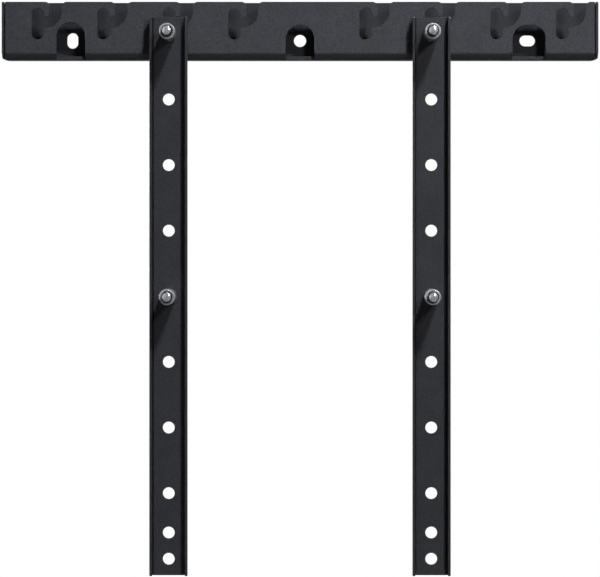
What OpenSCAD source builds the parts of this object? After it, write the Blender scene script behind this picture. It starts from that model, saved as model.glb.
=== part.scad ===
// Fixed flat wall mount for a television.
// A folded wall rail is screwed to the wall. Two channel strips are screwed to the back of the
// television through spacers, and the necks of their top screws hang in the rail's hook slots.
//
// Frame, in millimetres: +X is to the right as seen from the television side, +Y points into the
// wall and +Z up. The origin is the axis of the middle wall hole, in the plane of the wall.

/* [Wall rail] */
// Length of the folded rail
rail_length = 450; // [400:5:600]
// Height of the rail's back plate
back_height = 44.9; // [44:0.1:60]
// How far the front wall's top edge lies below the back plate's
front_drop = 0.7; // [0:0.1:3]
// Depth of the rail, from the wall to its front face
rail_depth = 20; // [18:0.5:30]
// Thickness of the rail's sheet
rail_sheet = 2.5; // [1.5:0.1:3]
// Inner radius of the rail's bends
rail_bend_r = 0.5; // [0.2:0.1:1]
// Height and depth of the bevel along the rail's lower front edge
bevel = 4.5; // [4:0.1:6]
// Height of the wall holes above the rail's underside
wall_hole_height = 15.7; // [14:0.1:17]
// Length of the taper that trims the ends of the bottom flange
end_taper_length = 2.3; // [1:0.1:4]
// Depth of the taper that trims the ends of the bottom flange
end_taper_depth = 8; // [4:0.5:10]

/* [Hook slots] */
// Distance from one hook slot to the next
hook_pitch = 50; // [46:1:60]
// Which slot, counted from the middle, each strip hangs in
hung_slot = 2; // [1:1:3]
// How much wider a hook slot is than a screw
hook_clearance = 1.5; // [0.5:0.1:2]
// Depth of a slot's closed upper end below the front wall's top edge
hook_top_depth = 4.7; // [4:0.1:6]
// Depth of a slot's closed lower end below the front wall's top edge
hook_seat_depth = 28.8; // [26:0.1:30]
// Width of the tab between a slot and its entry
hook_tab_w = 4.1; // [3:0.1:5]
// Radius of the curve that leads a screw from the entry into the slot
hook_sweep_r = 13; // [11:0.1:14]
// Depth at which that curve starts
hook_sweep_depth = 7; // [6:0.1:8]
// Radius of the two corners at the mouth of the entry
hook_mouth_r = 3.5; // [1:0.1:4]
// Radius of the corner where the curve meets the slot
hook_corner_r = 1.2; // [0.5:0.1:2]
// Gap left between a hung screw and the bottom of its slot
hook_seat_gap = 0.1; // [0.05:0.05:0.3]

/* [Screwdriver cut-outs and wall holes] */
// Width of the left and middle cut-outs
access_w = 22; // [20:0.2:24]
// Width of the right cut-out
access_wide_w = 25.6; // [22:0.2:28]
// Corner radius at the top of the cut-outs
access_corner_r = 11; // [6:0.5:11]
// Height of the left cut-out above the wall holes
access_left_top = 12.8; // [8:0.1:13]
// Height of the middle and right cut-outs above the wall holes
access_top = 10.9; // [8:0.1:13]
// How far the cut-outs run back from the front face
access_depth = 5; // [4.6:0.1:7]
// Diameter of the middle wall hole
wall_hole_d = 9.4; // [6:0.1:12]
// Width of the two slotted wall holes
wall_slot_w = 8.4; // [6:0.1:10]
// Length of the two slotted wall holes
wall_slot_l = 12; // [11:0.1:16]

/* [End caps] */
// Thickness of a cap's cover plate
cap_plate = 2.5; // [1.5:0.1:4]
// Radius of the cover plate's outer edges
cap_edge_r = 1.2; // [0.3:0.1:1.4]
// How far a cap's underside stays above the rail's
cap_lift = 0.9; // [0:0.1:1.5]
// Width of the shadow line between a cap and the rail
cap_groove = 0.4; // [0.2:0.1:1]
// Depth of that shadow line
cap_groove_depth = 1; // [0.5:0.1:1.2]
// How far a cap reaches into the rail
cap_plug = 4; // [2:0.5:6]
// Wall of the rib that reaches into the rail
cap_rib = 2; // [1:0.1:3]
// Gap between that rib and the rail
cap_clearance = 0.2; // [0.1:0.05:0.4]

/* [Strips] */
// Length of a strip
strip_length = 425; // [300:5:600]
// Width of a strip
strip_w = 28.9; // [26:0.1:40]
// Thickness of the strips' sheet
strip_sheet = 2; // [1.5:0.1:2.5]
// Height of the flanges in front of the web
flange_h = 6.4; // [4:0.1:12]
// Inner radius of the strips' bends
strip_bend_r = 0.5; // [0.2:0.1:1]
// Radius of the corners at the flanges' ends
flange_corner_r = 1.5; // [0.5:0.1:3]
// Radius of the crease line pressed along each flange's foot
crease_r = 0.45; // [0.2:0.05:0.6]
// Distance from the first and last holes to a strip's ends
strip_margin = 12.5; // [10:0.5:20]
// Distance between the television holes
grid_pitch = 50; // [40:5:60]
// Distance between the last two holes
last_holes_pitch = 20; // [15:1:30]
// How much wider a strip's holes are than a screw
hole_clearance = 1; // [0.4:0.1:2]
// Which hole below the top one takes the lower screw
lower_screw_step = 4; // [1:1:4]

/* [Screws, washers and spacers] */
// Diameter of the screws
screw_d = 8; // [6:0.5:8]
// Length of a screw under its head
screw_length = 40; // [38:1:60]
// Chamfer at a screw's tip
screw_tip = 0.8; // [0.3:0.1:1.5]
// Diameter of a screw's domed head
head_d = 15; // [13:0.5:16]
// Height of a screw's head
head_h = 4.5; // [3.5:0.1:6]
// Height of the straight rim under the dome
head_rim = 1; // [0.5:0.1:2]
// Width across the flats of the hexagon socket
socket_w = 5; // [4:0.5:6]
// Depth of the hexagon socket
socket_depth = 2.6; // [1.5:0.1:3]
// Gap between a hung head and the inside of the front wall
head_clearance = 0.3; // [0.1:0.1:0.6]
// Outer diameter of the plain washers
washer_d = 16; // [14:0.5:20]
// Thickness of the plain washers
washer_t = 1.6; // [1:0.1:2]
// How much wider a washer's bore is than a screw
washer_clearance = 0.4; // [0.2:0.1:1]
// Outer diameter of the split lock washers
lock_washer_d = 14.4; // [12:0.1:16]
// Thickness of the split lock washers
lock_washer_t = 2.2; // [1.5:0.1:3]
// Width of the split in a lock washer
lock_split = 1.5; // [0.5:0.1:3]
// Outer diameter of a spacer
spacer_d = 12; // [10:0.5:16]
// Length of a spacer
spacer_length = 28; // [10:1:32]
// How much wider a spacer's bore is than a screw
spacer_clearance = 0.5; // [0.2:0.1:1]
// Chamfer at a spacer's ends
spacer_chamfer = 0.5; // [0.1:0.1:0.8]

/* [Hidden] */

$fn = 64;
coat_color = "#3c3d41";
zinc_color = "#b4b8bd";
cap_color = "#37383b";

// How far a cutter runs past the surface that it opens
past = 1;

// How many times as large as a bend its corner's cutter is
corner_reach = 1.5;

// Heights of the rail's edges
rail_bottom = -wall_hole_height;
rail_top = rail_bottom + back_height;
front_top = rail_top - front_drop;

// Widths and places across a hook slot, from its own axis
hook_slot_w = screw_d + hook_clearance;
hook_slot_r = hook_slot_w / 2;
hook_tab_r = hook_tab_w / 2;
hook_entry_left = hook_slot_r + hook_tab_w;
hook_entry_right = hook_entry_left + hook_slot_w;
hook_reach = hook_entry_right + hook_mouth_r;

// The slots are spread from the middle, as many as the rail has room for
slots_per_side = floor((rail_length / 2 - hook_reach - past) / hook_pitch);
outer_hole_x = (slots_per_side - 0.5) * hook_pitch;
strip_x = hung_slot * hook_pitch;

// Depths of the surfaces that the screws pass, from the wall towards the television
front_y = -rail_depth;
hook_head_y = front_y + rail_sheet + head_clearance;
strip_y = front_y - washer_t;
web_y = strip_y - strip_sheet;
lower_head_y = strip_y + washer_t + lock_washer_t;

// Heights of the strips' ends and holes
hung_z = front_top - hook_seat_depth + screw_d / 2 + hook_seat_gap;
lower_screw_z = hung_z - lower_screw_step * grid_pitch;
strip_top = hung_z + strip_margin;
strip_hole_d = screw_d + hole_clearance;
last_hole = strip_length - 2 * strip_margin;
grid_last = floor((last_hole - last_holes_pitch - strip_hole_d) / grid_pitch);
strip_holes = concat([for (i = [0:grid_last]) i * grid_pitch], [last_hole - last_holes_pitch, last_hole]);

// A sheet folded along the path of its outer surface, which turns to the right at each bend
module folded_profile(path, sheet, inner_r) {
    last = len(path) - 1;
    outer_r = inner_r + sheet;
    ways = [for (i = [0:last - 1]) (path[i + 1] - path[i]) / norm(path[i + 1] - path[i])];
    inwards = [for (way = ways) [way.y, -way.x]];
    inner_path = [for (i = [0:last]) i == 0 ? path[0] + inwards[0] * sheet
        : i == last ? path[last] + inwards[last - 1] * sheet
        : path[i] + (inwards[i - 1] + inwards[i]) * sheet / (1 + inwards[i - 1] * inwards[i])];
    centers = [for (i = [1:last - 1])
        path[i] + (inwards[i - 1] + inwards[i]) * outer_r / (1 + inwards[i - 1] * inwards[i])];
    difference() {
        union() {
            polygon(concat(path, [for (i = [last:-1:0]) inner_path[i]]));
            for (i = [1:last - 1])
                difference() {
                    polygon(bend_kite(centers[i - 1], path[i], inwards[i - 1], inwards[i], outer_r, 1));
                    translate(centers[i - 1])
                        circle(inner_r);
                }
        }
        for (i = [1:last - 1])
            difference() {
                polygon(bend_kite(centers[i - 1], path[i], inwards[i - 1], inwards[i], outer_r,
                    corner_reach));
                translate(centers[i - 1])
                    circle(outer_r);
            }
    }
}

// The kite from a bend's center over its two tangent points to its corner, enlarged by reach
function bend_kite(center, corner, inward_in, inward_out, outer_r, reach) = [
    center,
    center - inward_in * outer_r * reach,
    center + (corner - center) * reach,
    center - inward_out * outer_r * reach
];

// Outline of the rail's end seen along X, drawn in from its outer surface by inset
function rail_outline(inset, bottom, top) =
    let (corner = inset * (sqrt(2) - 1))
    [
        [-inset, top],
        [-inset, bottom + inset],
        [front_y + bevel + corner, bottom + inset],
        [front_y + inset, bottom + bevel + corner],
        [front_y + inset, top]
    ];

// Stands a drawing of X and Z upright, and thickens it from front to back
module upright(front, back) {
    translate([0, back, 0])
        rotate([90, 0, 0])
            linear_extrude(height = back - front)
                children();
}

// Lays a drawing of Y and Z across X, and thickens it from one x to the other
module crosswise(from, to) {
    translate([from, 0, 0])
        rotate([90, 0, 90])
            linear_extrude(height = to - from)
                children();
}

// Turns a piece that was drawn along +Z so that it points to the television
module facing_tv(place) {
    translate(place)
        rotate([90, 0, 0])
            children();
}

// A slot with round ends, along X
module round_slot(length, width) {
    for (side = [-1, 1])
        translate([side * (length - width) / 2, 0])
            circle(d = width);
    square([length - width, width], center = true);
}

// Rounds the corner where the lead-in curve meets the slot's right side
module hook_corner(sweep) {
    center = [
        hook_slot_r + hook_corner_r,
        sweep.y - sqrt((hook_sweep_r + hook_corner_r) ^ 2 - (hook_slot_r + hook_corner_r - sweep.x) ^ 2)
    ];
    corner = [hook_slot_r, sweep.y - sqrt(hook_sweep_r ^ 2 - (hook_slot_r - sweep.x) ^ 2)];
    on_curve = sweep + (center - sweep) * hook_sweep_r / (hook_sweep_r + hook_corner_r);
    difference() {
        polygon([corner + [-hook_slot_r / 2, 0], [hook_slot_r / 2, center.y], [hook_slot_r, center.y],
            center, on_curve, corner]);
        translate(center)
            circle(hook_corner_r);
    }
}

// One hook slot: its axis is at x = 0 and the front wall's top edge at y = 0
module hook_slot() {
    upper = -hook_top_depth - hook_slot_r;
    lower = -hook_seat_depth + hook_slot_r;
    sweep = [hook_entry_right - hook_sweep_r, -hook_sweep_depth];
    for (y = [upper, lower])
        translate([0, y])
            circle(hook_slot_r);
    translate([-hook_slot_r, lower])
        square([hook_slot_w, upper - lower]);
    difference() {
        union() {
            translate([hook_slot_r, sweep.y])
                square([hook_tab_w + hook_slot_w, hook_sweep_depth + past]);
            intersection() {
                translate(sweep)
                    circle(hook_sweep_r);
                translate([hook_slot_r, sweep.y - hook_sweep_r])
                    square([hook_tab_w + hook_slot_w, hook_sweep_r]);
            }
        }
        translate([hook_slot_r, upper])
            square([hook_tab_w, past - upper]);
        translate([hook_slot_r + hook_tab_r, upper])
            circle(hook_tab_r);
    }
    hook_corner(sweep);
    difference() {
        translate([hook_entry_left - hook_mouth_r, -hook_mouth_r])
            square([hook_slot_w + 2 * hook_mouth_r, hook_mouth_r + past]);
        for (x = [hook_entry_left - hook_mouth_r, hook_entry_right + hook_mouth_r])
            translate([x, -hook_mouth_r])
                circle(hook_mouth_r);
    }
}

// A cut-out that lets a screwdriver reach a wall screw, open downwards
module access_cutout(width, top) {
    shoulder = top - access_corner_r;
    for (side = [-1, 1])
        translate([side * (width / 2 - access_corner_r), shoulder])
            circle(access_corner_r);
    if (width > 2 * access_corner_r)
        translate([-width / 2 + access_corner_r, shoulder])
            square([width - 2 * access_corner_r, access_corner_r]);
    translate([-width / 2, rail_bottom - past])
        square([width, shoulder - rail_bottom + past]);
}

module wall_rail() {
    half = rail_length / 2;
    color(coat_color)
        difference() {
            crosswise(-half, half)
                folded_profile([
                    [0, rail_top],
                    [0, rail_bottom],
                    [front_y + bevel, rail_bottom],
                    [front_y, rail_bottom + bevel],
                    [front_y, front_top]
                ], rail_sheet, rail_bend_r);
            for (side = [-1, 1], i = [1:slots_per_side])
                translate([side * i * hook_pitch, 0, front_top])
                    upright(front_y - past, front_y + rail_sheet + past)
                        hook_slot();
            upright(front_y - past, front_y + access_depth) {
                translate([-outer_hole_x, 0])
                    access_cutout(access_w, access_left_top);
                access_cutout(access_w, access_top);
                translate([outer_hole_x, 0])
                    access_cutout(access_wide_w, access_top);
            }
            facing_tv([0, past, 0])
                cylinder(h = rail_sheet + 2 * past, d = wall_hole_d);
            translate([-outer_hole_x, 0, 0])
                upright(-rail_sheet - past, past)
                    rotate(90)
                        round_slot(wall_slot_l, wall_slot_w);
            translate([outer_hole_x, 0, 0])
                upright(-rail_sheet - past, past)
                    round_slot(wall_slot_l, wall_slot_w);
            for (side = [-1, 1])
                translate([0, 0, rail_bottom - past])
                    linear_extrude(height = past + rail_sheet + rail_bend_r)
                        polygon([
                            [side * half, -end_taper_depth],
                            [side * (half + past), -end_taper_depth],
                            [side * (half + past), past],
                            [side * (half - end_taper_length), past],
                            [side * (half - end_taper_length), 0]
                        ]);
        }
}

// The cap of the right end; the left one is its mirror image
module end_cap() {
    bottom = rail_bottom + cap_lift;
    seat = rail_length / 2;
    inside = rail_sheet + cap_clearance;
    color(cap_color) {
        // Cover plate with rounded outer edges
        hull()
            for (turn = [0:15:90]) {
                inset = cap_edge_r * (1 - cos(turn));
                rise = cap_groove + cap_plate - cap_edge_r * (1 - sin(turn));
                crosswise(seat + cap_groove, seat + rise)
                    polygon(rail_outline(inset, bottom, front_top - inset));
            }
        // Narrower shoulder that seats on the rail's end and leaves the shadow line
        crosswise(seat, seat + cap_groove)
            polygon(rail_outline(cap_groove_depth, rail_bottom, front_top - cap_groove_depth));
        // Rib inside the channel
        crosswise(seat - cap_plug, seat)
            difference() {
                polygon(rail_outline(inside, rail_bottom, front_top - cap_groove_depth));
                polygon(rail_outline(inside + cap_rib, rail_bottom, front_top + past));
            }
    }
}

module end_cap_left() {
    mirror([1, 0, 0])
        end_cap();
}

module end_cap_right() {
    end_cap();
}

// A channel strip whose flanges point to the television
module tv_strip(x) {
    edge = strip_w / 2;
    flange_y = web_y - flange_h;
    bottom = strip_top - strip_length;
    color(coat_color)
        difference() {
            intersection() {
                translate([x, 0, bottom])
                    linear_extrude(height = strip_length)
                        difference() {
                            folded_profile([
                                [-edge, flange_y],
                                [-edge, strip_y],
                                [edge, strip_y],
                                [edge, flange_y]
                            ], strip_sheet, strip_bend_r);
                            for (side = [-1, 1])
                                translate([side * (edge - strip_sheet - strip_bend_r - crease_r), web_y])
                                    circle(crease_r);
                        }
                // Rounds the corners at the flanges' ends
                crosswise(x - edge - past, x + edge + past)
                    strip_side(flange_y, bottom);
            }
            for (drop = strip_holes)
                facing_tv([x, strip_y + past, hung_z - drop])
                    cylinder(h = strip_sheet + 2 * past, d = strip_hole_d);
        }
}

// Side view of a strip, with its two front corners rounded
module strip_side(flange_y, bottom) {
    r = flange_corner_r;
    translate([flange_y + r, bottom])
        square([strip_y - flange_y - r, strip_length]);
    translate([flange_y, bottom + r])
        square([r, strip_length - 2 * r]);
    for (z = [bottom + r, strip_top - r])
        translate([flange_y + r, z])
            circle(r);
}

module tv_strip_left() {
    tv_strip(-strip_x);
}

module tv_strip_right() {
    tv_strip(strip_x);
}

// A screw with a domed head and a hexagon socket; the underside of its head is at place
module screw(place) {
    dome_h = head_h - head_rim;
    dome_r = ((head_d / 2) ^ 2 + dome_h ^ 2) / (2 * dome_h);
    color(zinc_color)
        facing_tv(place)
            difference() {
                union() {
                    rotate_extrude()
                        intersection() {
                            translate([0, dome_r - head_h])
                                circle(dome_r, $fn = 180);
                            translate([0, -head_h])
                                square([head_d / 2, head_h]);
                        }
                    cylinder(h = screw_length - screw_tip, d = screw_d);
                    translate([0, 0, screw_length - screw_tip])
                        cylinder(h = screw_tip, d1 = screw_d, d2 = screw_d - 2 * screw_tip);
                }
                translate([0, 0, -head_h - past])
                    cylinder(h = socket_depth + past, d = socket_w / cos(30), $fn = 6);
            }
}

// A plain washer that lies behind a strip, with its rear face at place
module washer(place) {
    color(zinc_color)
        facing_tv(place)
            difference() {
                cylinder(h = washer_t, d = washer_d);
                translate([0, 0, -past])
                    cylinder(h = washer_t + 2 * past, d = screw_d + washer_clearance);
            }
}

// A split lock washer with its rear face at place
module lock_washer(place) {
    color(zinc_color)
        facing_tv(place)
            difference() {
                cylinder(h = lock_washer_t, d = lock_washer_d);
                translate([0, 0, -past])
                    cylinder(h = lock_washer_t + 2 * past, d = screw_d + washer_clearance);
                translate([0, -lock_split / 2, -past])
                    cube([lock_washer_d, lock_split, lock_washer_t + 2 * past]);
            }
}

// A turned sleeve that stands on a strip's web at place
module spacer(place) {
    outer = spacer_d / 2;
    bore = (screw_d + spacer_clearance) / 2;
    color(zinc_color)
        facing_tv(place)
            rotate_extrude()
                polygon([
                    [bore, 0],
                    [outer - spacer_chamfer, 0],
                    [outer, spacer_chamfer],
                    [outer, spacer_length - spacer_chamfer],
                    [outer - spacer_chamfer, spacer_length],
                    [bore, spacer_length]
                ]);
}

module hook_screw_left() {
    screw([-strip_x, hook_head_y, hung_z]);
}

module hook_screw_right() {
    screw([strip_x, hook_head_y, hung_z]);
}

module hook_washer_left() {
    washer([-strip_x, front_y, hung_z]);
}

module hook_washer_right() {
    washer([strip_x, front_y, hung_z]);
}

module hook_spacer_left() {
    spacer([-strip_x, web_y, hung_z]);
}

module hook_spacer_right() {
    spacer([strip_x, web_y, hung_z]);
}

module lower_screw_left() {
    screw([-strip_x, lower_head_y, lower_screw_z]);
}

module lower_screw_right() {
    screw([strip_x, lower_head_y, lower_screw_z]);
}

module lower_washer_left() {
    washer([-strip_x, strip_y + washer_t, lower_screw_z]);
}

module lower_washer_right() {
    washer([strip_x, strip_y + washer_t, lower_screw_z]);
}

module lock_washer_left() {
    lock_washer([-strip_x, lower_head_y, lower_screw_z]);
}

module lock_washer_right() {
    lock_washer([strip_x, lower_head_y, lower_screw_z]);
}

module lower_spacer_left() {
    spacer([-strip_x, web_y, lower_screw_z]);
}

module lower_spacer_right() {
    spacer([strip_x, web_y, lower_screw_z]);
}

wall_rail();
end_cap_left();
end_cap_right();
tv_strip_left();
tv_strip_right();
hook_screw_left();
hook_screw_right();
hook_washer_left();
hook_washer_right();
hook_spacer_left();
hook_spacer_right();
lower_screw_left();
lower_screw_right();
lower_washer_left();
lower_washer_right();
lock_washer_left();
lock_washer_right();
lower_spacer_left();
lower_spacer_right();
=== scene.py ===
"""Television wall mount: its sheet pieces, caps, screws and sleeves, and a studio around them."""
import math

import bmesh
import bpy
from bpy.props import FloatProperty, FloatVectorProperty, IntProperty, PointerProperty
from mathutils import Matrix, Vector


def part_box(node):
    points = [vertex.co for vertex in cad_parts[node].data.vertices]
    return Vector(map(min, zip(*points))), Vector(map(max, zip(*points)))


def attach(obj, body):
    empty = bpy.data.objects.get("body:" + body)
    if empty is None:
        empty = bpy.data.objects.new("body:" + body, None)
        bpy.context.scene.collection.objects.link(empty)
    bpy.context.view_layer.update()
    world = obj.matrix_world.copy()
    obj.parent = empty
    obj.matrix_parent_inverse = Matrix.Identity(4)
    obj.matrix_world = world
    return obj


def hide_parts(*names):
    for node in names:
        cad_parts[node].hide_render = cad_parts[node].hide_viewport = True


bl_info = {
    "name": "Television wall mount",
    "version": (1, 0, 0),
    "blender": (4, 5, 0),
    "location": "3D View > Sidebar > Wall mount",
    "description": "Models the pieces of a fixed television wall mount, their finishes and a studio",
    "category": "Object",
}

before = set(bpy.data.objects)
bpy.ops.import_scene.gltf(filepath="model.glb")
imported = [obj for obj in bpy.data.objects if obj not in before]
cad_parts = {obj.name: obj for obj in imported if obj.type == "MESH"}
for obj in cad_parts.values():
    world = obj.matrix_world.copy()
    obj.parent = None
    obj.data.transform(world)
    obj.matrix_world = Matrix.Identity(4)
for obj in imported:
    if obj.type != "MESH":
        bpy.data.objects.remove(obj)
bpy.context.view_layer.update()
MM = 0.001
BODY = "root"
ROWS = ("hook", "lower")
SIDES = ("left", "right")
IMAGE_WIDTH = 600
# How far a cutter runs past the surface that it opens
PAST = MM
# Corners nearer than this are one
SAME = 0.001 * MM
# Edges sharper than this many degrees stay sharp in the shading
SHARP = 50
# Widths over which a mask in a finish changes
SOFT_LINE = 0.5 * MM
THIN_LINE = 0.25 * MM
FINE_LINE = 0.125 * MM
BLACK = (0, 0, 0, 1)
WHITE = (1, 1, 1, 1)

RAIL_LOW, RAIL_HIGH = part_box("wall_rail")
STRIP_LOW, STRIP_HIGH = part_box("tv_strip_right")
CAP_LOW, CAP_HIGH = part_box("end_cap_right")
WASHER_LOW, WASHER_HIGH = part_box("hook_washer_right")
STRIP_X = (STRIP_LOW.x + STRIP_HIGH.x) / 2
HUNG_Z = (WASHER_LOW.z + WASHER_HIGH.z) / 2


def length(name, description, default, low=0.0):
    """A length that a user may change, in metres."""
    return FloatProperty(name=name, description=description, default=default, min=low,
                         unit="LENGTH", precision=5)


def strength(name, description, default):
    """A power, level or share that a user may change."""
    return FloatProperty(name=name, description=description, default=default, min=0.0)


def tint(name, description, default):
    """A linear colour that a user may change."""
    return FloatVectorProperty(name=name, description=description, default=default, size=3, min=0.0, max=1.0,
                               subtype="COLOR")


class RailSizes(bpy.types.PropertyGroup):
    """Sizes of the folded wall rail."""

    sheet: length("Sheet", "Thickness of the folded sheet", 2.5 * MM)
    bend: length("Inner bend radius", "Radius inside each fold", 0.5 * MM)
    bevel: length("Lower bevel", "Height and depth of the bevel under the front wall", 4.5 * MM)
    front_drop: length("Front drop", "How far the front wall ends below the back plate", 0.7 * MM)
    taper_length: length("Taper length", "Length of the taper at the ends of the underside", 2.3 * MM)
    taper_depth: length("Taper depth", "Depth of the taper at the ends of the underside", 8.0 * MM)
    edge: length("Edge radius", "Softening of all cut edges under the coating", 0.18 * MM)
    hole_width: length("Middle hole", "Diameter of the middle wall hole", 9.4 * MM)
    slot_width: length("Wall slot width", "Width of the two slotted wall holes", 8.4 * MM)
    slot_length: length("Wall slot length", "Length of the two slotted wall holes", 12.0 * MM)
    hole_spread: length("Wall slot place", "Distance of the slotted wall holes from the middle", 175.0 * MM)


class CutSizes(bpy.types.PropertyGroup):
    """Sizes of the hook slots and of the screwdriver cut-outs."""

    pitch: length("Slot pitch", "Distance from one hook slot to the next", 50.0 * MM)
    pairs: IntProperty(name="Slots per side", description="Hook slots on each side of the middle",
                       default=4, min=1)
    width: length("Slot width", "Width of a hook slot and of its entry", 9.5 * MM)
    top: length("Slot top", "Depth of a slot's closed upper end", 4.7 * MM)
    seat: length("Slot seat", "Depth of a slot's closed lower end", 28.8 * MM)
    tab: length("Tab width", "Width of the finger between a slot and its entry", 4.1 * MM)
    sweep: length("Sweep radius", "Radius of the curve that leads into a slot", 13.0 * MM)
    sweep_depth: length("Sweep depth", "Depth at which that curve starts", 7.0 * MM)
    mouth: length("Mouth radius", "Radius of the corners at an entry's mouth", 3.5 * MM)
    corner: length("Corner radius", "Radius where the curve meets the slot", 1.2 * MM)
    cutout: length("Cut-out width", "Width of the left and middle screwdriver cut-outs", 22.0 * MM)
    cutout_wide: length("Wide cut-out", "Width of the right screwdriver cut-out", 25.6 * MM)
    cutout_high: length("Left cut-out top", "Height of the left cut-out above the wall holes", 12.8 * MM)
    cutout_top: length("Cut-out top", "Height of the other cut-outs above the wall holes", 10.9 * MM)
    cutout_radius: length("Cut-out radius", "Radius at the top of the cut-outs", 11.0 * MM)
    cutout_depth: length("Cut-out depth", "How far the cut-outs run back from the front", 5.0 * MM)


class CapSizes(bpy.types.PropertyGroup):
    """Sizes of the moulded end caps."""

    edge: length("Edge radius", "Radius of the cover plate's outer edges", 1.2 * MM)
    groove: length("Groove", "Width of the shadow line beside the rail", 0.9 * MM)
    groove_depth: length("Groove depth", "Depth of that shadow line", 2.0 * MM)
    clearance: length("Clearance", "Gap between a cap's rib and the rail", 0.2 * MM)
    rib: length("Rib", "Wall of the rib inside the rail", 2.0 * MM)
    small_edge: length("Small edges", "Softening of the moulding's inner edges", 0.15 * MM)


class StripSizes(bpy.types.PropertyGroup):
    """Sizes of the two television strips."""

    sheet: length("Sheet", "Thickness of the folded sheet", 2.0 * MM)
    bend: length("Inner bend radius", "Radius inside each fold", 0.5 * MM)
    corner: length("Flange corners", "Radius of the corners at the flanges' ends", 1.5 * MM)
    crease: length("Crease width", "Width of the line pressed along each flange's foot", 0.8 * MM)
    crease_depth: length("Crease depth", "Depth of that line", 0.6 * MM)
    hole: length("Hole", "Diameter of the television holes", 9.0 * MM)
    margin: length("Margin", "Distance from the first and last holes to the ends", 12.5 * MM)
    pitch: length("Hole pitch", "Distance between the holes", 50.0 * MM)
    pitches: IntProperty(name="Pitches", description="Number of full hole pitches", default=7, min=1)
    last_pitch: length("Last pitch", "Distance between the last two holes", 20.0 * MM)
    edge: length("Edge radius", "Softening of all cut edges under the coating", 0.25 * MM)


class FixingSizes(bpy.types.PropertyGroup):
    """Sizes of the screws, washers and sleeves."""

    screw: length("Screw", "Outer diameter of the thread", 8.0 * MM)
    shank: length("Screw length", "Length under the head", 40.0 * MM)
    thread_pitch: length("Thread pitch", "Distance from one turn of the thread to the next", 1.25 * MM)
    thread_depth: length("Thread depth", "Depth of the thread", 0.68 * MM)
    tip: length("Tip chamfer", "Chamfer at the screw's tip", 0.8 * MM)
    head: length("Head", "Diameter of the domed head", 15.0 * MM)
    head_height: length("Head height", "Height of the domed head", 4.5 * MM)
    head_rim: length("Head rim", "Height of the straight rim under the dome", 1.0 * MM)
    head_edge: length("Head edge", "Chamfer under the head's rim", 0.3 * MM)
    socket: length("Socket", "Width across the flats of the hexagon socket", 5.0 * MM)
    socket_depth: length("Socket depth", "Depth of the hexagon socket", 2.6 * MM)
    washer_bore: length("Washer bore", "Diameter of a washer's hole", 8.4 * MM)
    split: length("Split", "Width of the split in a lock washer", 1.5 * MM)
    sleeve_bore: length("Sleeve bore", "Diameter of a sleeve's hole", 8.5 * MM)
    chamfer: length("Sleeve chamfer", "Chamfer at a sleeve's ends", 0.5 * MM)
    ring: length("Lathe rings", "Distance between the lathe's rings on washers and sleeves", 0.3 * MM)
    edge: length("Edge radius", "Softening of the heads' and sleeves' edges", 0.12 * MM)
    washer_edge: length("Washer edge", "Rounding of the washers' stamped edges", 0.2 * MM)
    step: length("Height step", "Distance from the top screws down to the lower screws", 200.0 * MM)


class Finishes(bpy.types.PropertyGroup):
    """Colours of the finishes, and the shade painted into the rail's channel and cut edges, the strips'
    creases and the screws' threads.
    """

    rail: tint("Rail coat", "Powder coat of the wall rail", (0.0635, 0.0655, 0.0755))
    # Painted shade: this part of the rail's colour darkens its channel and its cut edges
    thin: strength("Thin coat", "Shade of the rail's coat where it is thin, as a part of its colour", 0.4)
    channel: strength("Channel", "How much of the thin coat shows inside the rail's channel", 0.42)
    cut: strength("Cut edges", "How much of the thin coat shows on the front wall's cut edges", 0.9)
    strip: tint("Strip coat", "Powder coat of the strips", (0.0435, 0.0448, 0.0515))
    # Painted shade in the strips' creases at the foot of their flanges
    painted_crease_shade: tint("Thick coat", "Coat that has gathered in the strips' creases", (0.008, 0.008, 0.010))
    cap: tint("Cap plastic", "Moulded plastic of the end caps", (0.050, 0.051, 0.058))
    zinc: tint("Zinc", "Zinc plate of the screws, washers and sleeves", (0.60, 0.62, 0.65))
    # Painted shade on the screws' threads where they stand in front of the strips
    painted_thread_shade: tint("Grease", "Grease on the screws' threads", (0.04, 0.04, 0.045))
    floor: tint("Floor", "Paper under the mount", (0.80, 0.80, 0.80))


class Studio(bpy.types.PropertyGroup):
    """Camera, floor and lamps."""

    distance: length("Camera distance", "From the camera to the strips", 1.95)
    height: length("Camera height", "Height of the camera against the wall holes", -149.5 * MM, -2.0)
    pixels: FloatProperty(name="Scale", description="Image points per metre in the plane of the strips",
                          default=1312.7, min=1.0)
    rise: FloatProperty(name="Shift", description="Upward shift of the view in image points", default=-53.5)
    floor: length("Floor height", "Height of the floor under the wall holes", -0.9, -2.0)
    floor_width: length("Floor width", "Width and depth of the floor", 6.0)
    floor_fade: length("Floor fade", "The floor starts to turn white at half this distance", 2.2)
    key: strength("Key", "Power of the key lamp in watts", 4.7)
    side: strength("Side", "Power of the side lamp in watts", 5.9)
    back: strength("Back", "Power of the lamp behind the mount in watts", 2.5)
    fill: strength("Fill", "Level of the light from all round", 0.032)
    front: strength("Front", "Level that glossy pieces mirror from the camera's side", 0.05)
    paper: strength("Paper", "How much paler than lit the floor looks near the mount", 0.55)


def deselect():
    """Leaves nothing selected."""
    bpy.ops.object.select_all(action="DESELECT")


def select_only(piece):
    """Selects one piece and makes it the one that operators act on."""
    deselect()
    piece.select_set(True)
    bpy.context.view_layer.objects.active = piece


def pick(piece, wanted):
    """Selects the edges whose ends both pass a test on their places."""
    bpy.ops.mesh.select_mode(type="EDGE")
    bpy.ops.mesh.select_all(action="DESELECT")
    shell = bmesh.from_edit_mesh(piece.data)
    for edge in shell.edges:
        edge.select_set(all(wanted(end.co) for end in edge.verts))
    shell.select_flush_mode()
    bmesh.update_edit_mesh(piece.data)


def arc(center, radius, start, end, steps=12):
    """Points of an arc from one angle to another, in degrees."""
    turns = [math.radians(start + (end - start) * i / steps) for i in range(steps + 1)]
    return [(center[0] + radius * math.cos(turn), center[1] + radius * math.sin(turn)) for turn in turns]


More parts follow.
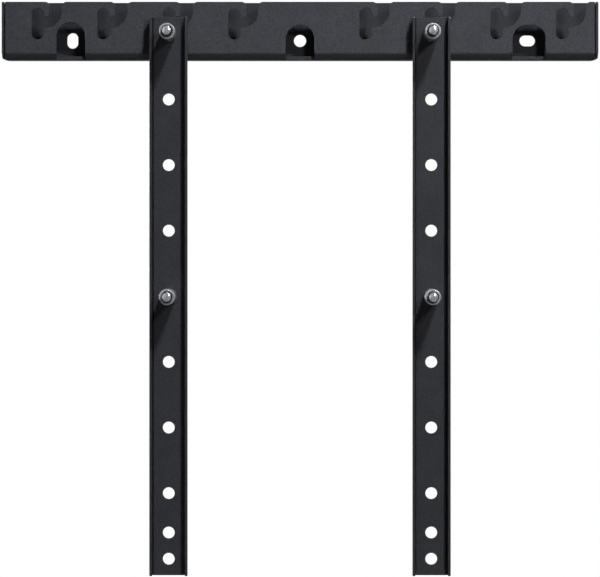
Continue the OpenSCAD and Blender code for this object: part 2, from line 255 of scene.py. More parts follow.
def line(name, points):
    """Draws a line from point to point, and leaves it in edit mode with its end selected."""
    points = [Vector(point) for point in points]
    deselect()
    bpy.ops.mesh.primitive_plane_add(size=MM)
    piece = bpy.context.object
    piece.name = name
    bpy.ops.object.mode_set(mode="EDIT")
    bpy.ops.mesh.select_mode(type="VERT")
    bpy.ops.mesh.select_all(action="SELECT")
    bpy.ops.mesh.merge(type="CENTER")
    bpy.ops.transform.translate(value=points[0])
    for here, there in zip(points, points[1:]):
        if (there - here).length > SAME / 10:
            bpy.ops.mesh.extrude_region_move(TRANSFORM_OT_translate={"value": there - here})
    return piece


def trace(name, points, filled=True):
    """Draws a closed line from point to point, and leaves it selected in edit mode."""
    ends_meet = (Vector(points[0]) - Vector(points[-1])).length < SAME / 10
    piece = line(name, points[:-1] if ends_meet else points)
    bpy.ops.mesh.select_all(action="SELECT")
    bpy.ops.mesh.edge_face_add()
    if not filled:
        bpy.ops.mesh.delete(type="ONLY_FACE")
        bpy.ops.mesh.select_all(action="SELECT")
    return piece


def tidy_shell():
    """Merges doubles and turns all faces outwards, and leaves edit mode."""
    bpy.ops.mesh.select_all(action="SELECT")
    bpy.ops.mesh.remove_doubles(threshold=SAME)
    bpy.ops.mesh.normals_make_consistent(inside=False)
    bpy.ops.object.mode_set(mode="OBJECT")


def slab(name, points, along):
    """A closed solid: a filled outline, extruded along a vector."""
    piece = trace(name, points)
    bpy.ops.mesh.extrude_region_move(TRANSFORM_OT_translate={"value": Vector(along)})
    tidy_shell()
    return piece


def upright(name, outline, front, back):
    """A solid whose outline is drawn in x and z, between two depths."""
    return slab(name, [(x, front, z) for x, z in outline], (0, back - front, 0))


def turned(name, section, steps=96, turn=2 * math.pi):
    """A round piece about the y axis; its section is drawn in radius and y."""
    piece = trace(name, [(r, y, 0) for r, y in section], filled=False)
    bpy.ops.mesh.spin(steps=steps, angle=turn, center=(0, 0, 0), axis=(0, 1, 0))
    if turn < 2 * math.pi:
        bpy.ops.mesh.select_all(action="SELECT")
        bpy.ops.mesh.fill_holes(sides=0)
    tidy_shell()
    return piece


def shaped(piece, kind, **settings):
    """Adds a modifier, sets it and applies it."""
    select_only(piece)
    bpy.ops.object.modifier_add(type=kind)
    modifier = piece.modifiers[-1]
    for name, value in settings.items():
        setattr(modifier, name, value)
    bpy.ops.object.modifier_apply(modifier=modifier.name)
    return piece


def combined(piece, tool, operation):
    """Cuts a tool out of a piece, adds it, or keeps what they share; the tool is used up."""
    shaped(piece, "BOOLEAN", object=tool, operation=operation, solver="EXACT")
    bpy.data.objects.remove(tool)
    return piece


def joined(pieces):
    """One object from several that don't touch."""
    deselect()
    for piece in pieces:
        piece.select_set(True)
    bpy.context.view_layer.objects.active = pieces[0]
    bpy.ops.object.join()
    return pieces[0]


def softened(piece, radius, segments=2, angle=SHARP):
    """Rounds the edges that are sharper than an angle in degrees."""
    return shaped(piece, "BEVEL", width=radius, segments=segments, limit_method="ANGLE",
                  angle_limit=math.radians(angle), use_clamp_overlap=False)


def copied(piece, name):
    """A copy with its own mesh."""
    select_only(piece)
    bpy.ops.object.duplicate(linked=False)
    copy = bpy.context.object
    copy.name = name
    return copy


def moved(piece, x, y, z):
    """Moves a piece and puts its place in its mesh."""
    select_only(piece)
    bpy.ops.transform.translate(value=(x, y, z))
    bpy.ops.object.transform_apply(location=True, rotation=True, scale=True)
    return piece


def placed(piece, node, material):
    """Shades a finished piece, and lets it stand for its CAD node."""
    shell = bmesh.new()
    shell.from_mesh(piece.data)
    open_edges = sum(1 for edge in shell.edges if not edge.is_manifold)
    shell.free()
    if open_edges:
        raise RuntimeError("%s has %d open edges" % (piece.name, open_edges))
    select_only(piece)
    bpy.ops.object.shade_smooth_by_angle(angle=math.radians(SHARP))
    shaped(piece, "WEIGHTED_NORMAL", mode="FACE_AREA", weight=50, keep_sharp=True)
    piece.data.materials.clear()
    piece.data.materials.append(material)
    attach(piece, BODY)
    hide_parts(node)


def folded(path, sheet, inner_radius, steps=10):
    """Outer and inner line of a sheet that is folded to the right along the path of its outer side."""
    outer_radius = inner_radius + sheet
    path = [Vector(point) for point in path]
    ways = [(after - before).normalized() for before, after in zip(path, path[1:])]
    inwards = [Vector((way.y, -way.x)) for way in ways]
    outer = [path[0]]
    inner = [path[0] + inwards[0] * sheet]
    for corner, before, after in zip(path[1:-1], inwards, inwards[1:]):
        center = corner + (before + after) * outer_radius / (1 + before.dot(after))
        start = math.atan2(-before.y, -before.x)
        turn = math.acos(before.dot(after))
        for i in range(steps + 1):
            angle = start - turn * i / steps
            way = Vector((math.cos(angle), math.sin(angle)))
            outer.append(center + way * outer_radius)
            inner.append(center + way * inner_radius)
    outer.append(path[-1])
    inner.append(path[-1] + inwards[-1] * sheet)
    return outer, inner


class Wave:
    """A number that a shader works out, so that masks are written as plain expressions."""

    def __init__(self, tree, socket):
        self.tree = tree
        self.socket = socket

    def math(self, operation, first, second=0.0, third=0.0):
        """Adds a Math node with up to three values."""
        node = self.tree.nodes.new("ShaderNodeMath")
        node.operation = operation
        for socket, value in zip(node.inputs, (first, second, third)):
            if isinstance(value, Wave):
                self.tree.links.new(value.socket, socket)
            else:
                socket.default_value = value
        return Wave(self.tree, node.outputs[0])

    def __add__(self, other):
        return self.math("ADD", self, other)

    def __radd__(self, other):
        return self.math("ADD", other, self)

    def __sub__(self, other):
        return self.math("SUBTRACT", self, other)

    def __rsub__(self, other):
        return self.math("SUBTRACT", other, self)

    def __mul__(self, other):
        return self.math("MULTIPLY", self, other)

    def __rmul__(self, other):
        return self.math("MULTIPLY", other, self)

    def __abs__(self):
        return self.math("ABSOLUTE", self)

    def clipped(self, low, high):
        """Keeps the number between two limits."""
        return self.math("MINIMUM", self.math("MAXIMUM", self, low), high)

    def past(self, limit, width):
        """Rises from 0 at a limit to 1 over a width."""
        return ((self - limit) * (1 / width)).clipped(0, 1)

    def before(self, limit, width):
        """Falls from 1 to 0 over a width that ends at a limit."""
        return ((limit - self) * (1 / width)).clipped(0, 1)


class Finish:
    """The nodes of a material or of the world, with one method that makes any node."""

    def __init__(self, owner):
        owner.use_nodes = True
        self.owner = owner
        self.tree = owner.node_tree

    def node(self, kind, settings=(), sockets=()):
        """Adds a node, sets it, and gives its sockets values or links."""
        made = self.tree.nodes.new(kind)
        for name, value in dict(settings).items():
            setattr(made, name, value)
        for place, value in dict(sockets).items():
            self.feed(made.inputs[place], value)
        return made

    def feed(self, socket, value):
        """Links a socket to another one, or gives it a value."""
        if isinstance(value, Wave):
            value = value.socket
        if isinstance(value, bpy.types.NodeSocket):
            self.tree.links.new(value, socket)
        else:
            socket.default_value = value

    def surface(self, **values):
        """Sets the shader's sockets, named with _ for a space."""
        shader = self.tree.nodes["Principled BSDF"]
        for name, value in values.items():
            self.feed(shader.inputs[name.replace("_", " ")], value)

    def place(self):
        """The place on the object."""
        return self.node("ShaderNodeTexCoord").outputs["Object"]

    def axes(self, where):
        """The x, y and z of a place or a direction."""
        apart = self.node("ShaderNodeSeparateXYZ", sockets={"Vector": where})
        return [Wave(self.tree, apart.outputs[axis]) for axis in "XYZ"]

    def rays(self, *kinds):
        """For each kind of ray, such as Camera: 1 where this is one, or else 0."""
        path = self.node("ShaderNodeLightPath")
        return [Wave(self.tree, path.outputs["Is %s Ray" % kind]) for kind in kinds]

    def noise(self, where, size, detail=2.0, roughness=0.5):
        """Noise with grains of about a size."""
        made = self.node("ShaderNodeTexNoise", sockets={"Vector": where, "Scale": 1.0 / size,
                                                        "Detail": detail, "Roughness": roughness})
        return Wave(self.tree, made.outputs[0])

    def between(self, amount, first, second):
        """A colour between two colours."""
        made = self.node("ShaderNodeMix", {"data_type": "RGBA"}, {0: amount, 6: first, 7: second})
        return made.outputs[2]

    def mottled(self, amount, color, spread):
        """A colour that a pattern makes darker and lighter."""
        return self.between(amount, shade(color, 1 - spread), shade(color, 1 + spread))

    def bump(self, height, depth):
        """The normal of a surface with a fine relief."""
        made = self.node("ShaderNodeBump", sockets={"Height": height, "Distance": depth, "Strength": 1.0})
        return made.outputs["Normal"]


def shade(color, part=1.0):
    """A part of a colour, as a shader's socket takes it."""
    return tuple(value * part for value in color) + (1.0,)


def rail_painted_shade(finish, base, where):
    """Paints shade into a coat: darker inside the rail's channel and on the cut edges of its front wall."""
    rail = bpy.context.scene.mount_rail
    finishes = bpy.context.scene.mount_finishes
    y, z = finish.axes(where)[1:]
    front = RAIL_LOW.y
    inside = y.past(front + rail.sheet, SOFT_LINE)
    wall = z.past(RAIL_LOW.z + rail.bevel + rail.sheet, SOFT_LINE)
    cut = y.past(front + 0.3 * FINE_LINE, FINE_LINE) * wall
    thin = cut * (1 - inside) * finishes.cut + inside * finishes.channel
    return finish.between(thin, base, shade(finishes.rail, finishes.thin))


def strip_painted_shade(finish, base, where):
    """Paints shade into a coat: dark in the creases at the foot of the strips' flanges."""
    strips = bpy.context.scene.mount_strips
    x, y = finish.axes(where)[:2]
    crease_x = STRIP_HIGH.x - STRIP_X - strips.sheet - strips.crease / 2
    from_crease = abs(abs(abs(x) - STRIP_X) - crease_x)
    crease = from_crease.before(0.75 * strips.crease, strips.crease / 2)
    front = y.before(STRIP_HIGH.y - strips.sheet / 2, THIN_LINE)
    return finish.between(crease * front, base, shade(bpy.context.scene.mount_finishes.painted_crease_shade))


def powder_coat(name, color, gloss, rough, shade_painter):
    """Matt black powder coat: orange peel, grain and faint clouds, and the shade that a given function paints
    into it.
    """
    finish = Finish(bpy.data.materials.new(name))
    where = finish.place()
    peel = finish.noise(where, 1.3 * MM, 3.0, 0.6)
    grain = finish.noise(where, 0.35 * MM, 2.0, 0.6)
    cloud = finish.noise(where, 18 * MM)
    base = finish.mottled(peel * 0.6 + grain * 0.25 + cloud * 0.15, color, 0.9)
    uneven = rough + (peel - 0.5) * 0.25 + (cloud - 0.5) * 0.1
    finish.surface(Base_Color=shade_painter(finish, base, where),
                   Roughness=uneven.clipped(0.2, 0.8),
                   Specular_IOR_Level=gloss,
                   Normal=finish.bump(peel * 0.7 + grain * 0.3, 0.14 * MM))
    return finish.owner


def moulded_plastic(name, color):
    """Matt black plastic with a fine eroded mould texture."""
    finish = Finish(bpy.data.materials.new(name))
    where = finish.place()
    grain = finish.noise(where, 0.3 * MM, 2.0, 0.7)
    flow = finish.noise(where, 9 * MM)
    uneven = 0.46 + (grain - 0.5) * 0.2 + (flow - 0.5) * 0.08
    finish.surface(Base_Color=finish.mottled(grain * 0.4 + flow * 0.6, color, 0.1),
                   Roughness=uneven.clipped(0.3, 0.7),
                   Specular_IOR_Level=0.2,
                   Normal=finish.bump(grain, 0.02 * MM))
    return finish.owner


def zinc_plate(name, ring_size=0.0, thread=0.0):
    """Zinc plate with faint stains, and lathe rings about each screw's axis or painted shade on the thread
    past a radius.
    """
    finishes = bpy.context.scene.mount_finishes
    finish = Finish(bpy.data.materials.new(name))
    where = finish.place()
    stain = finish.noise(where, 3 * MM, 3.0)
    grain = finish.noise(where, 0.25 * MM)
    base = finish.mottled(stain, finishes.zinc, 0.14)
    relief = grain * 0.5
    rough = 0.2 + (stain - 0.5) * 0.12 + (grain - 0.5) * 0.08
    x, y, z = finish.axes(where)
    across = abs(x) - STRIP_X
    half_step = bpy.context.scene.mount_fixings.step / 2
    up = z.math("WRAP", z - HUNG_Z, half_step, -half_step)
    if ring_size:
        about = finish.node("ShaderNodeCombineXYZ", sockets={"X": across, "Y": y, "Z": up})
        rings = finish.node("ShaderNodeTexWave", {"wave_type": "RINGS", "rings_direction": "Y"},
                            {"Vector": about.outputs[0], "Scale": 1 / ring_size, "Distortion": 1.5,
                             "Detail": 2.0})
        ring = Wave(finish.tree, rings.outputs[1])
        relief = relief + ring * 0.5
        rough = rough + (ring - 0.5) * 0.08
    # Painted shade: the thread in front of the strips is darkened, in place of the shade in the gap round
    # each screw's tip
    if thread:
        radius = x.math("SQRT", across * across + up * up)
        painted_thread_shade = radius.past(thread, FINE_LINE) * y.before(STRIP_LOW.y, SOFT_LINE)
        base = finish.between(painted_thread_shade, base, shade(finishes.painted_thread_shade))
        rough = rough + painted_thread_shade * 0.2
    finish.surface(Base_Color=base,
                   Metallic=0.5,
                   Roughness=rough.clipped(0.12, 0.5),
                   Normal=finish.bump(relief, 0.015 * MM))
    return finish.owner


def slot_outline(cuts):
    """Outline of a hook slot about its own axis, with the front wall's top edge at z = 0."""
    r = cuts.width / 2
    upper = -cuts.top - r
    lower = -cuts.seat + r
    tab_r = cuts.tab / 2
    entry = r + cuts.tab
    far = entry + cuts.width
    sweep = Vector((far - cuts.sweep, -cuts.sweep_depth))
    reach = cuts.sweep + cuts.corner
    corner = Vector((r + cuts.corner, sweep.y - math.sqrt(reach ** 2 - (r + cuts.corner - sweep.x) ** 2)))
    lean = math.degrees(math.atan2(corner.y - sweep.y, corner.x - sweep.x))
    above = cuts.mouth
    return (arc((0, upper), r, 180, 0, 18)
            + arc((r + tab_r, upper), tab_r, 180, 360, 12)
            + arc((entry - cuts.mouth, -cuts.mouth), cuts.mouth, 0, 90, 10)
            + [(entry - cuts.mouth, above), (far + cuts.mouth, above)]
            + arc((far + cuts.mouth, -cuts.mouth), cuts.mouth, 90, 180, 10)
            + arc(sweep, cuts.sweep, 0, lean, 20)
            + arc(corner, cuts.corner, lean + 180, 180, 6)
            + arc((0, lower), r, 0, -180, 18))


def cutout_outline(width, top, radius, bottom):
    """Outline of a screwdriver cut-out that is open downwards."""
    side = width / 2 - radius
    return ([(-width / 2, bottom)] + arc((-side, top - radius), radius, 180, 90, 14)
            + arc((side, top - radius), radius, 90, 0, 14) + [(width / 2, bottom)])


def long_hole(size, width, steps=14):
    """Outline of a slot with round ends, along x."""
    side = (size - width) / 2
    return arc((side, 0), width / 2, 90, -90, steps) + arc((-side, 0), width / 2, -90, -270, steps)


def shifted(outline, x, z=0.0):
    """An outline moved in its own plane."""
    return [(point[0] + x, point[1] + z) for point in outline]


def rail_line(inset, bottom, top, bevel):
    """The rail's outline seen from its end, in y and z, drawn in from its outer side."""
    front = RAIL_LOW.y
    corner = inset * (math.sqrt(2) - 1)
    return [(-inset, top), (-inset, bottom + inset), (front + bevel + corner, bottom + inset),
            (front + inset, bottom + bevel + corner), (front + inset, top)]


class MOUNT_OT_rail(bpy.types.Operator):
    """Models the folded wall rail with its hook slots, cut-outs and wall holes"""

    bl_idname = "wall_mount.rail"
    bl_label = "Wall rail"

    def execute(self, context):
        sizes = context.scene.mount_rail
        cuts = context.scene.mount_cuts
        front_top = RAIL_HIGH.z - sizes.front_drop
        back, front, bottom = 0.0, RAIL_LOW.y, RAIL_LOW.z
        path = [(back, RAIL_HIGH.z), (back, bottom), (front + sizes.bevel, bottom),
                (front, bottom + sizes.bevel), (front, front_top)]
        outer, inner = folded(path, sizes.sheet, sizes.bend)
        section = [(RAIL_LOW.x, point.x, point.y) for point in outer + inner[::-1]]
        rail = slab("rail_sheet", section, (RAIL_HIGH.x - RAIL_LOW.x, 0, 0))
        cutters = []
        for number in range(-cuts.pairs, cuts.pairs + 1):
            if number:
                outline = shifted(slot_outline(cuts), number * cuts.pitch, front_top)
                cutters.append(upright("hook_cutter", outline, front - PAST, front + sizes.sheet + PAST))
        spread = sizes.hole_spread
        low = bottom - PAST
        for x, width, top in ((-spread, cuts.cutout, cuts.cutout_high), (0, cuts.cutout, cuts.cutout_top),
                              (spread, cuts.cutout_wide, cuts.cutout_top)):
            outline = shifted(cutout_outline(width, top, cuts.cutout_radius, low), x)
            cutters.append(upright("cutout_cutter", outline, front - PAST, front + cuts.cutout_depth))
        hole = arc((0, 0), sizes.hole_width / 2, 0, 360, 40)
        level = long_hole(sizes.slot_length, sizes.slot_width)
        standing = [(z, -x) for x, z in level]
        for x, outline in ((-spread, standing), (0, hole), (spread, level)):
            cutters.append(upright("hole_cutter", shifted(outline, x), -sizes.sheet - PAST, PAST))
        for side in (-1, 1):
            end = RAIL_HIGH.x * side
            outside = end + side * PAST
            trimmed = end - side * sizes.taper_length
            taper = [(end, -sizes.taper_depth), (outside, -sizes.taper_depth), (outside, PAST),
                     (trimmed, PAST), (trimmed, 0)]
            cutters.append(slab("taper_cutter", [(x, y, low) for x, y in taper],
                                (0, 0, PAST + sizes.sheet + sizes.bend)))
        combined(rail, joined(cutters), "DIFFERENCE")
        softened(rail, sizes.edge)
        coat = powder_coat("rail_powder_coat", context.scene.mount_finishes.rail, gloss=0.12, rough=0.5,
                           shade_painter=rail_painted_shade)
        placed(rail, "wall_rail", coat)
        return {"FINISHED"}


class MOUNT_OT_caps(bpy.types.Operator):
    """Models the two moulded end caps"""

    bl_idname = "wall_mount.caps"
    bl_label = "End caps"

    def execute(self, context):
        sizes = context.scene.mount_caps
        rail = context.scene.mount_rail
        seat = RAIL_HIGH.x
        top = CAP_HIGH.z
        overlap = 0.1 * MM
        plate_line = rail_line(0, CAP_LOW.z, top, rail.bevel)
        plate = slab("cap_moulding", [(seat + sizes.groove, y, z) for y, z in plate_line],
                     (CAP_HIGH.x - seat - sizes.groove, 0, 0))
        select_only(plate)
        bpy.ops.object.mode_set(mode="EDIT")
        pick(plate, lambda co: co.x > CAP_HIGH.x - overlap)
        bpy.ops.mesh.bevel(offset=sizes.edge, segments=5, affect="EDGES")
        tidy_shell()
        softened(plate, sizes.small_edge, angle=60)
        inset = sizes.groove_depth
        shoulder_line = rail_line(inset, RAIL_LOW.z, top - inset, rail.bevel)
        shoulder = slab("cap_shoulder", [(seat - overlap, y, z) for y, z in shoulder_line],
                        (sizes.groove + 2 * overlap, 0, 0))
        outside = rail.sheet + sizes.clearance
        rib_top = top - inset
        rib_outer = rail_line(outside, RAIL_LOW.z, rib_top, rail.bevel)
        rib_inner = rail_line(outside + sizes.rib, RAIL_LOW.z, rib_top, rail.bevel)
        rib = slab("cap_rib", [(CAP_LOW.x, y, z) for y, z in rib_outer + rib_inner[::-1]],
                   (seat - CAP_LOW.x, 0, 0))
        softened(rib, sizes.small_edge, angle=60)
        combined(plate, shoulder, "UNION")
        combined(plate, rib, "UNION")
        other = copied(plate, "cap_moulding_left")
        bpy.ops.transform.resize(value=(-1, 1, 1), center_override=(0, 0, 0))
        bpy.ops.object.transform_apply(location=True, rotation=True, scale=True)
        bpy.ops.object.mode_set(mode="EDIT")
        tidy_shell()
        plate.name = "cap_moulding_right"
        plastic = moulded_plastic("cap_plastic", context.scene.mount_finishes.cap)
        placed(other, "end_cap_left", plastic)
        placed(plate, "end_cap_right", plastic)
        return {"FINISHED"}


class MOUNT_OT_strips(bpy.types.Operator):
    """Models the two folded strips with their holes and crease lines"""

    bl_idname = "wall_mount.strips"
    bl_label = "Television strips"

    def execute(self, context):
        sizes = context.scene.mount_strips
        half = (STRIP_HIGH.x - STRIP_LOW.x) / 2
        front, back = STRIP_LOW.y, STRIP_HIGH.y
        path = [(-half, front), (-half, back), (half, back), (half, front)]
        outer, inner = folded(path, sizes.sheet, sizes.bend)
        web = back - sizes.sheet
        stretch = sizes.crease_depth / (sizes.crease / 2)
        creases = []
        for side in (1, -1):
            middle = side * (half - sizes.sheet - sizes.crease / 2)
            for x, depth in arc((middle, 0), sizes.crease / 2, 0, 180, 16):
                creases.append(Vector((x, web + depth * stretch)))
        section = outer + inner[-1:] + creases + inner[:1]
        strip = slab("strip_sheet", [(STRIP_X + point.x, point.y, STRIP_LOW.z) for point in section],
                     (0, 0, STRIP_HIGH.z - STRIP_LOW.z))
        select_only(strip)
        bpy.ops.object.mode_set(mode="EDIT")
        for end in (STRIP_LOW.z, STRIP_HIGH.z):
            pick(strip, lambda co: co.y < front + 10 * SAME and abs(co.z - end) < 10 * SAME)
            bpy.ops.mesh.bevel(offset=sizes.corner, segments=8, affect="EDGES")
        tidy_shell()
        softened(strip, sizes.edge)
        drops = [i * sizes.pitch for i in range(sizes.pitches + 1)]
        last = STRIP_HIGH.z - STRIP_LOW.z - 2 * sizes.margin
        drops += [last - sizes.last_pitch, last]
        r = sizes.hole / 2
        flare = r + 2 * sizes.edge
        flared = [(0, web - sizes.edge), (flare, web - sizes.edge), (r, web + sizes.edge),
                  (r, back - sizes.edge), (flare, back + sizes.edge), (0, back + sizes.edge)]
        cutter = turned("hole_cutter", flared, 48)
        holes = [moved(copied(cutter, "hole_cutter"), STRIP_X, 0, HUNG_Z - drop) for drop in drops]
        bpy.data.objects.remove(cutter)
        combined(strip, joined(holes), "DIFFERENCE")
        other = moved(copied(strip, "strip_sheet_left"), -2 * STRIP_X, 0, 0)
        strip.name = "strip_sheet_right"
        coat = powder_coat("strip_powder_coat", context.scene.mount_finishes.strip, gloss=0.25, rough=0.36,
                           shade_painter=strip_painted_shade)
        placed(other, "tv_strip_left", coat)
        placed(strip, "tv_strip_right", coat)
        return {"FINISHED"}


def thread_rod(sizes, start, end):
    """A closed threaded rod along y that runs past both its ends by more than a turn."""
    pitch = sizes.thread_pitch
    crest = sizes.screw / 2
    root = crest - sizes.thread_depth
    turns = math.ceil((end - start) / pitch) + 3
    flat = 0.12 * pitch
    section = [(root, 0), (root, flat), (crest, (pitch - flat) / 2), (crest, (pitch + flat) / 2),
               (root, pitch - flat), (root, pitch)]
    rod = line("thread_rod", [(r, start - 1.5 * pitch + y, 0) for r, y in section])
    bpy.ops.object.mode_set(mode="OBJECT")
    shaped(rod, "SCREW", axis="Y", screw_offset=pitch, iterations=turns, steps=36, render_steps=36)
    bpy.ops.object.mode_set(mode="EDIT")
    bpy.ops.mesh.select_all(action="SELECT")
    bpy.ops.mesh.remove_doubles(threshold=SAME)
    bpy.ops.mesh.select_all(action="SELECT")
    bpy.ops.mesh.fill_holes(sides=0)
    tidy_shell()
    return rod


class MOUNT_OT_screws(bpy.types.Operator):
    """Models one threaded screw with a domed head and copies it to the four places"""

    bl_idname = "wall_mount.screws"
    bl_label = "Screws"

    def execute(self, context):
        sizes = context.scene.mount_fixings
        r = sizes.screw / 2
        tip = -sizes.shank
        wide = r + PAST
        in_head = PAST / 2
        blank = turned("shank_blank", [(0, in_head), (wide, in_head), (wide, tip + sizes.tip + PAST),
                                       (r - sizes.tip, tip), (0, tip)])
        screw = combined(thread_rod(sizes, tip, PAST), blank, "INTERSECT")
        dome_height = sizes.head_height - sizes.head_rim
        dome_r = ((sizes.head / 2) ** 2 + dome_height ** 2) / (2 * dome_height)
        spread = math.degrees(math.asin(sizes.head / 2 / dome_r))
        dome = arc((0, sizes.head_height - dome_r), dome_r, 90, 90 - spread, 16)
        rim = [(sizes.head / 2, sizes.head_edge), (sizes.head / 2 - sizes.head_edge, 0), (0, 0)]
        head = turned("screw_head", dome + rim)
        deselect()
        bpy.ops.mesh.primitive_cylinder_add(vertices=6, radius=sizes.socket / math.sqrt(3),
                                            depth=2 * sizes.socket_depth, location=(0, sizes.head_height, 0),
                                            rotation=(math.pi / 2, 0, 0))
        combined(head, context.object, "DIFFERENCE")
        softened(head, sizes.edge, angle=40)
        combined(screw, head, "UNION")
        zinc = zinc_plate("zinc_screw", thread=r - sizes.tip)
        for row in ROWS:
            for side in SIDES:
                node = "%s_screw_%s" % (row, side)
                low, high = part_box(node)
                piece = copied(screw, node + "_threaded")
                moved(piece, (low.x + high.x) / 2, low.y + sizes.shank, (low.z + high.z) / 2)
                placed(piece, node, zinc)
        bpy.data.objects.remove(screw)
        return {"FINISHED"}


class MOUNT_OT_washers(bpy.types.Operator):
    """Models the plain washers and the split lock washers"""

    bl_idname = "wall_mount.washers"
    bl_label = "Washers"

    def execute(self, context):
        sizes = context.scene.mount_fixings
        zinc = zinc_plate("zinc_washer", ring_size=sizes.ring)
        bore = sizes.washer_bore / 2
        for kind in ("hook_washer", "lower_washer", "lock_washer"):
            for side in SIDES:
                node = "%s_%s" % (kind, side)
                low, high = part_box(node)
                outer = (high.z - low.z) / 2
                section = [(bore, low.y), (outer, low.y), (outer, high.y), (bore, high.y)]
                turn = 2 * math.pi
                if kind == "lock_washer":
                    turn -= sizes.split / (bore + outer) * 2
                piece = turned(node + "_turned", section, 64, turn)
                softened(piece, sizes.washer_edge, segments=3, angle=40)
                moved(piece, (low.x + high.x) / 2, 0, (low.z + high.z) / 2)
                placed(piece, node, zinc)
        return {"FINISHED"}


class MOUNT_OT_sleeves(bpy.types.Operator):
    """Models the four turned spacer sleeves"""

    bl_idname = "wall_mount.sleeves"
    bl_label = "Spacer sleeves"

    def execute(self, context):
        sizes = context.scene.mount_fixings
        zinc = zinc_plate("zinc_spacer", ring_size=sizes.ring)
        bore = sizes.sleeve_bore / 2
        cut = sizes.chamfer
        for row in ROWS:
            for side in SIDES:
                node = "%s_spacer_%s" % (row, side)
                low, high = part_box(node)
                outer = (high.z - low.z) / 2
                section = [(bore, low.y), (outer - cut, low.y), (outer, low.y + cut), (outer, high.y - cut),
                           (outer - cut, high.y), (bore, high.y)]
                piece = turned(node + "_turned", section)
                softened(piece, sizes.edge, angle=40)
                moved(piece, (low.x + high.x) / 2, 0, (low.z + high.z) / 2)
                placed(piece, node, zinc)
        return {"FINISHED"}


def lamp(name, power, direction, distance, width, cone=180, aim=(0, 0, 0)):
    """A round soft lamp that faces a point, with its cone in degrees."""
    way = Vector(direction).normalized()
    bpy.ops.object.light_add(type="AREA", location=Vector(aim) + way * distance,
                             rotation=way.to_track_quat("Z", "Y").to_euler())
    light = bpy.context.object
    light.name = name
    light.data.shape = "DISK"
    light.data.size = width
    light.data.energy = power
    light.data.spread = math.radians(cone)


def pale_floor(studio, color):
    """Pale paper that turns white far out, so that its edges don't show."""
    finish = Finish(bpy.data.materials.new("pale_floor"))
    where = finish.place()
    x, y = finish.axes(where)[:2]
    far = (x * x + y * y).past(studio.floor_fade ** 2 / 4, studio.floor_fade ** 2)
    seen = finish.rays("Camera")[0]
    glow = seen * (far * (1 - studio.paper) + studio.paper)
    finish.surface(Base_Color=finish.mottled(finish.noise(where, 0.3), color, 0.025),
                   Roughness=0.8,
                   Emission_Color=finish.between(glow, BLACK, WHITE),
                   Emission_Strength=1.0)
    return finish.owner


def white_world(studio):
    """White to the camera, dim to the pieces; they mirror white behind and to the left, and less in front."""
    finish = Finish(bpy.data.worlds.new("studio"))
    finish.tree.nodes.clear()
    x, y = finish.axes(finish.node("ShaderNodeTexCoord").outputs["Generated"])[:2]
    bright = x.math("MAXIMUM", y.past(0.1, 0.25), x.before(-0.2, 0.5))
    camera, glossy, clear = finish.rays("Camera", "Glossy", "Transmission")
    mirrored = (glossy + clear).clipped(0, 1) * (studio.front + bright * (1 - studio.front))
    seen = (camera + mirrored).clipped(0, 1)
    fill = finish.node("ShaderNodeBackground", sockets={"Color": WHITE, "Strength": studio.fill})
    backdrop = finish.node("ShaderNodeBackground", sockets={"Color": WHITE, "Strength": 1.0})
    mix = finish.node("ShaderNodeMixShader", sockets={0: seen, 1: fill.outputs[0], 2: backdrop.outputs[0]})
    finish.node("ShaderNodeOutputWorld", sockets={"Surface": mix.outputs[0]})
    return finish.owner


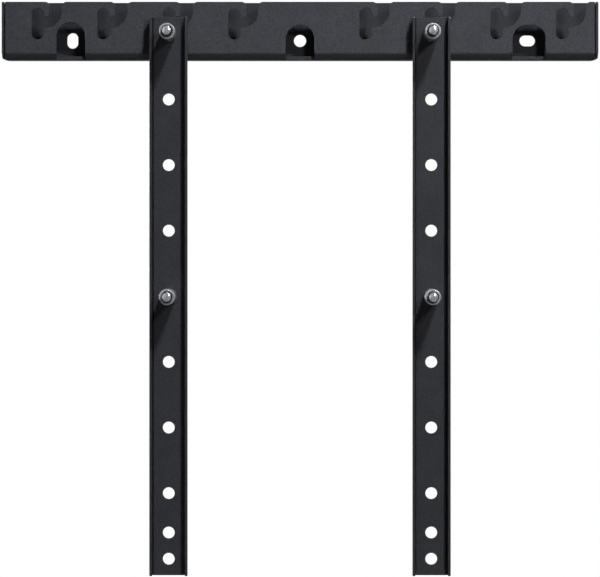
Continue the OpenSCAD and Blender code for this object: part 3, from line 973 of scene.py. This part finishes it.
class MOUNT_OT_studio(bpy.types.Operator):
    """Sets the camera, the floor, the lamps and the white background"""

    bl_idname = "wall_mount.studio"
    bl_label = "Studio"

    def execute(self, context):
        studio = context.scene.mount_studio
        web = STRIP_HIGH.y - context.scene.mount_strips.sheet
        bpy.ops.object.camera_add(location=(0, web - studio.distance, studio.height),
                                  rotation=(math.pi / 2, 0, 0))
        camera = context.object
        camera.data.lens = camera.data.sensor_width * studio.pixels * studio.distance / IMAGE_WIDTH
        camera.data.shift_y = studio.rise / IMAGE_WIDTH
        camera.data.clip_end = 50
        context.scene.camera = camera
        deselect()
        bpy.ops.mesh.primitive_plane_add(size=studio.floor_width, location=(0, 0, studio.floor))
        floor = context.object
        floor.name = "floor"
        bpy.ops.object.transform_apply(location=True, rotation=True, scale=True)
        floor.data.materials.append(pale_floor(studio, context.scene.mount_finishes.floor))
        context.scene.world = white_world(studio)
        lamp("key", studio.key, direction=(0.46, -1, 1.28), distance=3.4, width=0.42, cone=40,
             aim=(0.09, 0, 0))
        lamp("side", studio.side, direction=(0.47, -1, 0.36), distance=1.7, width=0.24)
        lamp("back", studio.back, direction=(-0.7, 1, 0.1), distance=2.6, width=0.8, cone=45)
        context.scene.view_settings.view_transform = "Standard"
        return {"FINISHED"}


class MOUNT_PT_panel(bpy.types.Panel):
    """Lists the mount's pieces and its studio"""

    bl_idname = "MOUNT_PT_panel"
    bl_label = "Wall mount"
    bl_space_type = "VIEW_3D"
    bl_region_type = "UI"
    bl_category = "Wall mount"

    def draw(self, context):
        for group in GROUPS:
            box = self.layout.box()
            settings = getattr(context.scene, group)
            for name in settings.bl_rna.properties.keys():
                if name not in ("rna_type", "name"):
                    box.prop(settings, name)
        for operator in OPERATORS:
            self.layout.operator(operator.bl_idname)


GROUPS = {"mount_rail": RailSizes, "mount_cuts": CutSizes, "mount_caps": CapSizes,
          "mount_strips": StripSizes, "mount_fixings": FixingSizes, "mount_finishes": Finishes,
          "mount_studio": Studio}
OPERATORS = (MOUNT_OT_rail, MOUNT_OT_caps, MOUNT_OT_strips, MOUNT_OT_screws, MOUNT_OT_washers,
             MOUNT_OT_sleeves, MOUNT_OT_studio)


def register():
    """Registers the groups of sizes, the operators and the panel."""
    for name, group in GROUPS.items():
        bpy.utils.register_class(group)
        setattr(bpy.types.Scene, name, PointerProperty(type=group))
    for operator in OPERATORS:
        bpy.utils.register_class(operator)
    bpy.utils.register_class(MOUNT_PT_panel)


def unregister():
    """Takes back what register adds."""
    bpy.utils.unregister_class(MOUNT_PT_panel)
    for operator in reversed(OPERATORS):
        bpy.utils.unregister_class(operator)
    for name, group in reversed(GROUPS.items()):
        delattr(bpy.types.Scene, name)
        bpy.utils.unregister_class(group)


def main():
    """Models all the pieces and the studio."""
    register()
    bpy.ops.wall_mount.rail()
    bpy.ops.wall_mount.caps()
    bpy.ops.wall_mount.strips()
    bpy.ops.wall_mount.screws()
    bpy.ops.wall_mount.washers()
    bpy.ops.wall_mount.sleeves()
    bpy.ops.wall_mount.studio()


if __name__ == "__main__":
    main()
